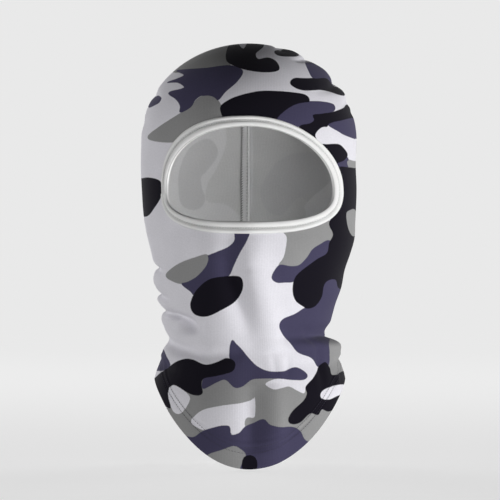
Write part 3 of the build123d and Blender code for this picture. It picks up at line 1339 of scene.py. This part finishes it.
@dataclass
class FaceBinding:
    """The folded elastic strip round the face opening, with its stitches."""

    form: HoodForm
    opening: FaceOpening
    tape: bpy.types.Material
    thread: bpy.types.Material
    lap_angle: float = 181.0
    stitch_pitch: float = 1.95

    def profile(self) -> tuple[np.ndarray, np.ndarray]:
        """The strip's section, from its outer edge over the fold to its inside edge.

        Returns:
            Shares across the binding, and heights above the cloth's outside.
        """
        shares = [1.02, 1.03, 0.99, 0.93, 0.86, 0.79, 0.72, 0.665, 0.62, 0.58, 0.54, 0.50, 0.455,
                  0.40, 0.33, 0.25, 0.17, 0.09, 0.03, -0.01, -0.025, -0.02, 0.01, 0.06, 0.14, 0.30,
                  0.50, 0.70, 0.86, 0.94, 0.95]
        heights = [-0.15, 0.25, 0.80, 1.20, 1.4, 1.42, 1.25, 0.85, 0.45, 0.25, 0.25, 0.45, 0.9,
                   1.35, 1.6, 1.65, 1.55, 1.3, 0.85, 0.25, -0.5, -1.2, -1.75, -2.1, -2.25, -2.2,
                   -2.15, -2.2, -2.1, -1.6, -1.1]
        return np.array(shares), np.array(heights)

    def build_strip(self) -> bpy.types.Object:
        """Make the strip.

        Returns:
            The strip.
        """
        shares, heights = self.profile()
        count = self.opening.points
        angles = np.linspace(0, 360, count, endpoint=False)
        lap = np.exp(-(((angles - self.lap_angle) / 2.6) ** 2)) * np.sign(angles - self.lap_angle + 0.01)
        rows, flats = [], []
        across = 0.0
        for k, (share, height) in enumerate(zip(shares, heights)):
            places = self.opening.outline(share)
            lifted = height + lap * (0.32 if height > 0.3 else 0.0)
            rows.append(band(self.form, places, lifted))
            if k:
                across += float(np.linalg.norm(rows[-1][0] - rows[-2][0]))
            run = np.cumsum(np.linalg.norm(places - np.roll(places, 1, 0), axis=1))
            flats.append(np.stack([run, np.full(count, across)], 1))
        piece = Piece("face_binding_strip")
        faces = grid_faces(len(shares), count, closed=True)
        piece.add(np.concatenate(rows), faces, np.concatenate(flats))
        outer = np.arange(len(shares)) < 20
        # painted shade on the outside rows: darker in the stitched groove, along the outer edge and along the
        # fold at the opening's edge
        dark = np.exp(-(((shares - 0.56) / 0.055) ** 2)) * 0.5
        dark += np.exp(-(((shares - 1.03) / 0.03) ** 2)) * 0.5
        dark += np.exp(-(((shares + 0.02) / 0.03) ** 2)) * 0.8
        piece.values["painted_shade"] = np.repeat(np.clip(dark * outer, 0, 1), count)
        return piece.build([self.tape])

    def build_stitches(self) -> bpy.types.Object:
        """Make the needle stitches that lie in the strip's groove.

        Returns:
            The stitches.
        """
        piece = Piece("binding_stitches")
        upper = self.opening.outline(0.66, 2400)
        lower = self.opening.outline(0.46, 2400)
        run = np.concatenate([[0], np.cumsum(np.linalg.norm(np.diff(upper, axis=0), axis=1))])
        total = run[-1]
        count = int(total / self.stitch_pitch)
        for k in range(count):
            i = int(np.searchsorted(run, (k + 0.2) * total / count))
            j = min(int(np.searchsorted(run, (k + 0.62) * total / count)), 2399)
            ends = np.stack([upper[i], lower[j]])
            path = ends[0] + (ends[1] - ends[0]) * np.linspace(0, 1, 5)[:, None]
            arch = 0.85 + 0.15 * np.sin(np.linspace(0.15, math.pi - 0.15, 5))
            block = thread_block(band(self.form, path, arch), 0.24)
            piece.add(*block)
        return piece.build([self.thread])

    def build_looper(self) -> bpy.types.Object:
        """Make the looper thread on the inside.

        Returns:
            The thread.
        """
        piece = Piece("binding_looper")
        count = 900
        middle = self.opening.outline(0.5, count)
        wave = 0.12 * np.sin(np.arange(count) * 2 * math.pi * 0.24)
        width = self.opening.outline(1.0, count) - self.opening.outline(0.0, count)
        places = middle + width * wave[:, None]
        spots = band(self.form, places, np.full(count, -2.42))
        piece.add(*thread_block(spots, 0.2))
        return piece.build([self.thread])

    def build_tack(self) -> bpy.types.Object:
        """Make the tack over the strip's two ends.

        Returns:
            The tack.
        """
        piece = Piece("binding_tack")
        for k in range(4):
            angle = self.lap_angle - 0.9 + 0.6 * k
            i = int(angle / 360 * 1440)
            ends = np.stack([self.opening.outline(0.86, 1440)[i], self.opening.outline(0.12, 1440)[i]])
            path = ends[0] + (ends[1] - ends[0]) * np.linspace(0, 1, 7)[:, None]
            height = 1.25 + 0.35 * np.sin(np.linspace(0, math.pi, 7))
            piece.add(*thread_block(band(self.form, path, height), 0.17))
        return piece.build([self.thread])


@dataclass
class BackSeam:
    """The turned-in edges of the panel down the centre back, with their threads."""

    form: HoodForm
    cloth: bpy.types.Material
    thread: bpy.types.Material
    bottom: float = -292.0
    allowance: float = 5.6
    bow: float = 1.6
    bow_level: float = -108.0
    bow_reach: float = 60.0
    crown_share: float = 0.32
    crown_start: float = 0.16

    def line(self, offset: float, depth: float, count: int = 240) -> np.ndarray:
        """A line down the inside of the back.

        Args:
            offset: distance from the seam towards the wearer's right.
            depth: distance inside the cloth's outside.
            count: the number of points.

        Returns:
            Places in space.
        """
        share = np.linspace(0, 1, count)
        arch = np.linspace(0.10, 1, count)
        over = np.clip(share / self.crown_share, 0, 1) * (math.pi / 2 - self.crown_start)
        z_top = self.form.dome + self.form.rise * np.cos(self.crown_start + over)
        down = (share - self.crown_share) / (1 - self.crown_share)
        z_low = self.form.dome + (self.bottom - self.form.dome) * down
        z = np.where(share < self.crown_share, z_top, z_low)
        bow = self.bow * np.exp(-(((z - self.bow_level) / self.bow_reach) ** 2)) * arch
        half, _ = self.form.section(z, -np.ones(count), -np.ones(count))
        x = -(offset + bow)
        phi = -(math.pi - np.arcsin(np.clip(-x / np.maximum(half, 3.0), -0.98, 0.98)))
        spots, _ = self.form.surface(phi, z, -depth)
        return spots

    def build_plies(self, depths: tuple[float, ...] = (1.1, 1.95)) -> bpy.types.Object:
        """Make both seam allowances, one lying on the other.

        Args:
            depths: how far inside the cloth's outside each one lies.

        Returns:
            The allowances.
        """
        piece = Piece("seam_allowances")
        total = 0
        for step, depth in enumerate(depths):
            reach = self.allowance - 0.4 * step
            across = [0.4, 0.8, 1.4, 2.4, 3.6, reach - 0.9, reach - 0.3, reach]
            drop = [0.0, 0.15, 0.1, 0.0, 0.0, 0.1, 0.25, 0.35]
            loops = [self.line(a, depth + d) for a, d in zip(across, drop)]
            loops += [self.line(a, depth + d + 0.75) for a, d in zip(across[::-1], drop[::-1])]
            count = len(loops[0])
            run = np.linspace(0, 300, count)
            flat = [np.stack([np.full(count, float(k)), run], 1) for k in range(len(loops))]
            faces = grid_faces(len(loops), count).tolist()
            last = (len(loops) - 1) * count
            faces += [[last + j, j, j + 1, last + j + 1] for j in range(count - 1)]
            piece.add(np.concatenate(loops), np.array(faces), np.concatenate(flat))
            total += len(loops) * count
        for ink in (Ink.GREY, Ink.INDIGO, Ink.BLACK):
            piece.values[f"ink_{ink.name.lower()}"] = np.full(total, 15.0)
        return piece.build([self.cloth])

    def build_rows(self, name: str, offsets: tuple[float, float], depth: float,
                   pitch: float) -> bpy.types.Object:
        """Make one row of stitches.

        Args:
            name: the piece's name.
            offsets: where each stitch starts and ends, from the seam.
            depth: how far inside the cloth's outside it lies.
            pitch: the spacing of the stitches.

        Returns:
            The stitches.
        """
        piece = Piece(name)
        one = self.line(offsets[0], depth, 1200)
        two = self.line(offsets[1], depth, 1200)
        run = np.concatenate([[0], np.cumsum(np.linalg.norm(np.diff(one, axis=0), axis=1))])
        count = int(run[-1] / pitch)
        for k in range(2, count - 1):
            i = int(np.searchsorted(run, (k + 0.1) * pitch))
            j = int(np.searchsorted(run, (k + 0.85) * pitch))
            path = one[i] + (two[j] - one[i]) * np.linspace(0, 1, 4)[:, None]
            piece.add(*thread_block(path, 0.2))
        return piece.build([self.thread])


@dataclass
class HemStitching:
    """The cover stitch that holds the turned hem."""

    form: HoodForm
    thread: bpy.types.Material
    upper: float = 15.4
    lower: float = 11.2
    pitch: float = 2.6

    def height(self, phi: np.ndarray, lift: float) -> np.ndarray:
        """Height of a line that follows the hem at a distance along the cloth.

        Args:
            phi: angles round.
            lift: distance from the hem's fold.

        Returns:
            Heights.
        """
        return self.form.hem_height(phi) + lift * self.form.hem_steepness(phi)

    def line(self, lift: float, offset: float, count: int) -> np.ndarray:
        """Places along such a line.

        Args:
            lift: distance from the hem's fold.
            offset: distance outside the cloth.
            count: the number of places.

        Returns:
            Places in space.
        """
        phi = np.linspace(-math.pi + 0.03, math.pi - 0.03, count)
        spots, _ = self.form.surface(phi, self.height(phi, lift), offset)
        return spots

    def build_row(self, name: str, lift: float) -> bpy.types.Object:
        """Make one outside row of stitches.

        Args:
            name: the piece's name.
            lift: distance from the hem's fold.

        Returns:
            The stitches.
        """
        piece = Piece(name)
        spots = self.line(lift, 0.02, 4200)
        run = np.concatenate([[0], np.cumsum(np.linalg.norm(np.diff(spots, axis=0), axis=1))])
        count = int(run[-1] / self.pitch)
        for k in range(count):
            i = int(np.searchsorted(run, (k + 0.08) * self.pitch))
            j = int(np.searchsorted(run, (k + 0.88) * self.pitch))
            pick = np.linspace(i, min(j, 4199), 5).astype(int)
            piece.add(*thread_block(spots[pick], 0.15))
        return piece.build([self.thread])

    def build_looper(self) -> bpy.types.Object:
        """Make the looper thread inside the hem.

        Returns:
            The thread.
        """
        count = 3000
        phi = np.linspace(-math.pi + 0.03, math.pi - 0.03, count)
        high, low = self.height(phi, self.upper), self.height(phi, self.lower)
        wave = 0.5 + 0.5 * np.sin(np.arange(count) * 2 * math.pi / 14)
        spots, _ = self.form.surface(phi, low + (high - low) * wave, -3.15)
        piece = Piece("hem_looper")
        piece.add(*thread_block(spots, 0.2))
        return piece.build([self.thread])


@dataclass(frozen=True)
class Studio:
    """Pale floor that curves up into a far bowl, soft lights and the camera."""

    distance: float = 6.0
    elevation: float = 1.0
    width: float = 0.3855
    target: tuple[float, float, float] = (0.0008, 0.0, -0.1582)
    paper: float = 0.35
    floor_glow: float = 0.66
    backdrop: float = 0.815

    def floor(self, level: float) -> bpy.types.Object:
        """Make the floor and its bowl.

        Args:
            level: the floor's height.

        Returns:
            The floor.
        """
        radii = [0.0, 0.1, 0.25, 0.5, 1.0, 2.0, 4.0, 6.0] + [
            6.0 + 6.0 * math.sin(a) for a in np.linspace(0.1, math.pi / 2, 14)]
        lifts = [0.0] * 8 + [6.0 * (1 - math.cos(a)) for a in np.linspace(0.1, math.pi / 2, 14)]
        radii.append(12.0)
        lifts.append(16.0)
        count = 96
        turn = np.linspace(0, 2 * math.pi, count, endpoint=False)
        points = [np.stack([r * np.cos(turn), r * np.sin(turn), np.full(count, level + h)], 1)
                  for r, h in zip(radii, lifts)]
        piece = Piece("studio_floor")
        faces = grid_faces(len(radii), count, closed=True)
        piece.add(np.concatenate(points) / MM, faces, np.zeros((len(radii) * count, 2)))
        finish = Finish("studio_paper", roughness=0.95, sheen=0.0)
        mat = finish.material()
        shader = mat.node_tree.nodes["Principled BSDF"]
        shader.inputs["Specular IOR Level"].default_value = 0.0
        place = finish.node(mat, "ShaderNodeNewGeometry")
        away = finish.node(mat, "ShaderNodeVectorMath", operation="LENGTH")
        mat.node_tree.links.new(place.outputs["Position"], away.inputs[0])
        fade = finish.node(mat, "ShaderNodeMapRange", interpolation_type="SMOOTHSTEP")
        fade.inputs["From Min"].default_value = 0.5
        fade.inputs["From Max"].default_value = 3.2
        mat.node_tree.links.new(away.outputs["Value"], fade.inputs["Value"])
        near = finish.math(mat, "MULTIPLY", finish.math(mat, "SUBTRACT", 1.0, fade.outputs[0]), self.paper)
        grey = finish.node(mat, "ShaderNodeCombineColor")
        for socket in grey.inputs[:3]:
            mat.node_tree.links.new(near, socket)
        mat.node_tree.links.new(grey.outputs[0], shader.inputs["Base Color"])
        shader.inputs["Emission Color"].default_value = (1, 1, 1, 1)
        glow = finish.math(mat, "ADD", self.floor_glow,
                           finish.math(mat, "MULTIPLY", fade.outputs[0], self.backdrop - self.floor_glow))
        mat.node_tree.links.new(glow, shader.inputs["Emission Strength"])
        return piece.build([mat])

    def light(self, name: str, place: tuple[float, float, float], size: float,
              power: float) -> bpy.types.Object:
        """Add one soft light aimed at the hood.

        Args:
            name: the light's name.
            place: where it is, in metres.
            size: its width.
            power: its power in watts.

        Returns:
            The light.
        """
        lamp = bpy.data.lights.new(name, "AREA")
        lamp.shape = "DISK"
        lamp.size = size
        lamp.energy = power
        obj = bpy.data.objects.new(name, lamp)
        obj.location = place
        aim = Vector(self.target) - Vector(place)
        obj.rotation_euler = aim.to_track_quat("-Z", "Y").to_euler()
        obj.visible_camera = False
        bpy.context.scene.collection.objects.link(obj)
        return obj

    def camera(self) -> None:
        """Add the camera in front of the hood."""
        data = bpy.data.cameras.new("camera")
        data.sensor_width = 36.0
        data.lens = 36.0 * self.distance / self.width
        data.clip_end = 60.0
        obj = bpy.data.objects.new("camera", data)
        tilt = math.radians(self.elevation)
        away = Vector((0, -math.cos(tilt), math.sin(tilt))) * self.distance
        obj.location = Vector(self.target) + away
        obj.rotation_euler = (-away).to_track_quat("-Z", "Y").to_euler()
        bpy.context.scene.collection.objects.link(obj)
        bpy.context.scene.camera = obj

    def build(self, level: float) -> None:
        """Set the stage.

        Args:
            level: the floor's height.
        """
        floor = self.floor(level)
        floor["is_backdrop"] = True
        floor.visible_diffuse = False
        floor.visible_shadow = False
        for name, place, size, power in LAMPS:
            self.light(name, place, size, power)
        inner = self.light("inner", (0.055, -0.02, -0.11), 0.05, 0.042)
        inner.rotation_euler = (math.radians(90), 0, math.radians(66))
        inner.data.spread = math.radians(122)
        world = bpy.data.worlds.new("studio_air")
        world.use_nodes = True
        world.node_tree.nodes["Background"].inputs[0].default_value = (0.9, 0.9, 0.92, 1)
        world.node_tree.nodes["Background"].inputs[1].default_value = 0.08
        bpy.context.scene.world = world
        bpy.context.scene.view_settings.view_transform = "Standard"
        self.camera()


def box_now() -> list[list[float]]:
    """The whole object's box.

    Returns:
        Its two corners.
    """
    low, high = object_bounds()
    return [[float(v) for v in low], [float(v) for v in high]]


def main() -> None:
    """Build every sub-assembly in order and log each piece."""
    logging.basicConfig(level=logging.INFO)
    sizes = {"cad": box_now()}
    form = HoodForm()
    opening = FaceOpening(form)
    camo = CamoPrint(form)
    knit = PrintedKnit("printed_knit").build()
    lining = PrintedKnit("knit_inside", ghost=0.15, backing=(0.66, 0.66, 0.655), edge=0.8).build()
    tape = PlainTape("white_tape", shade=(0.86, 0.86, 0.85), shadow=(0.62, 0.62, 0.62)).build()
    white_thread, grey_thread, dark_thread = (
        PlainTape(name, shade=shade, shadow=shadow, rib=THREAD_RIB).build()
        for name, shade, shadow in THREADS)

    hood = HoodCloth(form, opening, knit, lining).build(camo)
    binding = FaceBinding(form, opening, tape, white_thread)
    strip = binding.build_strip()
    seam = BackSeam(form, lining, grey_thread)
    hem = HemStitching(form, dark_thread)
    plies = seam.build_plies()
    made = [
        (hood, ("hood_panel", "hem_turn"), "printed_knit"),
        (strip, ("face_binding",), "white_binding"),
        (binding.build_stitches(), ("binding_needle_thread",), "binding_thread"),
        (binding.build_looper(), ("binding_looper_thread",), "binding_thread"),
        (binding.build_tack(), ("binding_end_tack",), "binding_thread"),
        (plies, ("seam_ply_left", "seam_ply_right"), "printed_knit"),
        (seam.build_rows("seam_overlock", (4.0, 6.1), 3.15, 1.9), ("seam_overlock_thread",), "seam_thread"),
        (seam.build_rows("seam_needle", (0.9, 0.9), 2.95, 2.6), ("seam_needle_thread",), "seam_thread"),
        (hem.build_row("hem_stitches_upper", hem.upper), ("hem_needle_thread_upper",), "seam_thread"),
        (hem.build_row("hem_stitches_lower", hem.lower), ("hem_needle_thread_lower",), "seam_thread"),
        (hem.build_looper(), ("hem_looper_thread",), "seam_thread"),
    ]
    for piece, nodes, slot in made:
        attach(piece, "root")
        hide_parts(*nodes)
        LOG.info("%s: %d points, stands for %s", piece.name, len(piece.data.vertices), ", ".join(nodes))

    sizes["visual"] = box_now()
    Studio().build(sizes["visual"][0][2] - 0.0005)
    LOG.info("sizes %s", sizes)


if __name__ == "__main__":
    main()
